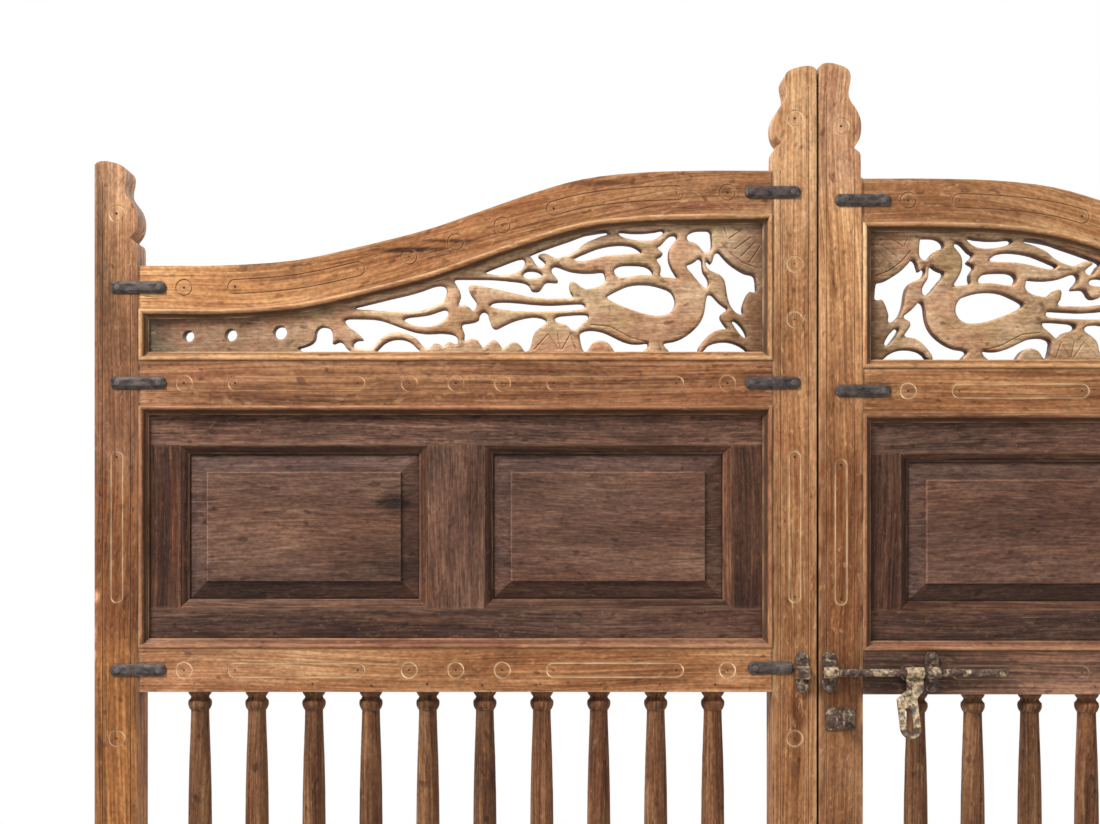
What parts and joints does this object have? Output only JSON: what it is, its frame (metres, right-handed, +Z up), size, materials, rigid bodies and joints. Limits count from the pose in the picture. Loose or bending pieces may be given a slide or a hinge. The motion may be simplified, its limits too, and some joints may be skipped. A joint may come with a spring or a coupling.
{
  "type": "double gate",
  "caption": "Pair of swan-neck timber gate leaves with pierced bird carving, raised panels, turned balusters, iron joint straps and a sliding bolt with hasp.",
  "frame": {"origin": "on the ground under the meeting line, at the middle of the leaves' thickness", "axes": "+X to the right as the front is seen, +Y away from the viewer, +Z up"},
  "size_m": [2.396, 0.1731, 1.697],
  "materials": {
    "honey_wood": "worn oiled honey-brown hardwood",
    "carved_wood": "worn brown hardwood with grey-green traces in the hollows",
    "dark_wood": "dark chocolate-brown weathered hardwood",
    "old_iron": "blackened hand-forged iron",
    "painted_iron": "iron crusted with flaking cream and green paint"
  },
  "bodies": {
    "fixed_hinges": {"left_hinge_fixed_flaps": "old_iron", "left_hinge_pins": "old_iron", "right_hinge_fixed_flaps": "old_iron", "right_hinge_pins": "old_iron"},
    "left_leaf": {"left_hanging_stile": "honey_wood", "left_meeting_stile": "honey_wood", "left_top_rail": "honey_wood", "left_lock_rail": "honey_wood", "left_lower_rail": "honey_wood", "left_bottom_rail": "honey_wood", "left_carved_panel": "carved_wood", "left_carving_beads": "honey_wood", "left_panel_beads": "honey_wood", "left_inner_top_rail": "dark_wood", "left_inner_bottom_rail": "dark_wood", "left_inner_hanging_stile": "dark_wood", "left_inner_meeting_stile": "dark_wood", "left_muntin": "dark_wood", "left_raised_panel_outer": "dark_wood", "left_raised_panel_inner": "dark_wood", "left_raised_beads": "dark_wood", "left_balusters": "honey_wood", "left_straps": "old_iron", "left_strap_nails": "old_iron", "left_hinge_leaf_flaps": "old_iron", "left_hinge_screws": "old_iron", "bolt_keeper": "old_iron", "keeper_screws": "old_iron"},
    "right_leaf": {"right_hanging_stile": "honey_wood", "right_meeting_stile": "honey_wood", "right_top_rail": "honey_wood", "right_lock_rail": "honey_wood", "right_lower_rail": "honey_wood", "right_bottom_rail": "honey_wood", "right_carved_panel": "carved_wood", "right_carving_beads": "honey_wood", "right_panel_beads": "honey_wood", "right_inner_top_rail": "dark_wood", "right_inner_bottom_rail": "dark_wood", "right_inner_hanging_stile": "dark_wood", "right_inner_meeting_stile": "dark_wood", "right_muntin": "dark_wood", "right_raised_panel_outer": "dark_wood", "right_raised_panel_inner": "dark_wood", "right_raised_beads": "dark_wood", "right_balusters": "honey_wood", "right_straps": "old_iron", "right_strap_nails": "old_iron", "right_hinge_leaf_flaps": "old_iron", "right_hinge_screws": "old_iron", "bolt_guides": "old_iron", "bolt_staple": "painted_iron", "guide_screws": "old_iron"},
    "bolt": {"bolt_rod": "old_iron"},
    "hasp": {"bolt_hasp": "painted_iron"}
  },
  "joints": [
    {"name": "left_leaf_swing", "type": "hinge", "parent": "fixed_hinges", "child": "left_leaf", "pos_m": [-1.191, 0.0345, 0.79], "axis": [0, 0, 1], "range_deg": [0, 90]},
    {"name": "right_leaf_swing", "type": "hinge", "parent": "fixed_hinges", "child": "right_leaf", "pos_m": [1.191, 0.0345, 0.79], "axis": [0, 0, -1], "range_deg": [0, 90]},
    {"name": "bolt_slide", "type": "slide", "parent": "right_leaf", "child": "bolt", "axis": [1, 0, 0], "range_m": [-0.097, 0]},
    {"name": "hasp_turn", "type": "hinge", "parent": "bolt", "child": "hasp", "pos_m": [0.156, -0.0395, 0.698], "axis": [-1, 0, 0], "range_deg": [-25, 150]}
  ]
}
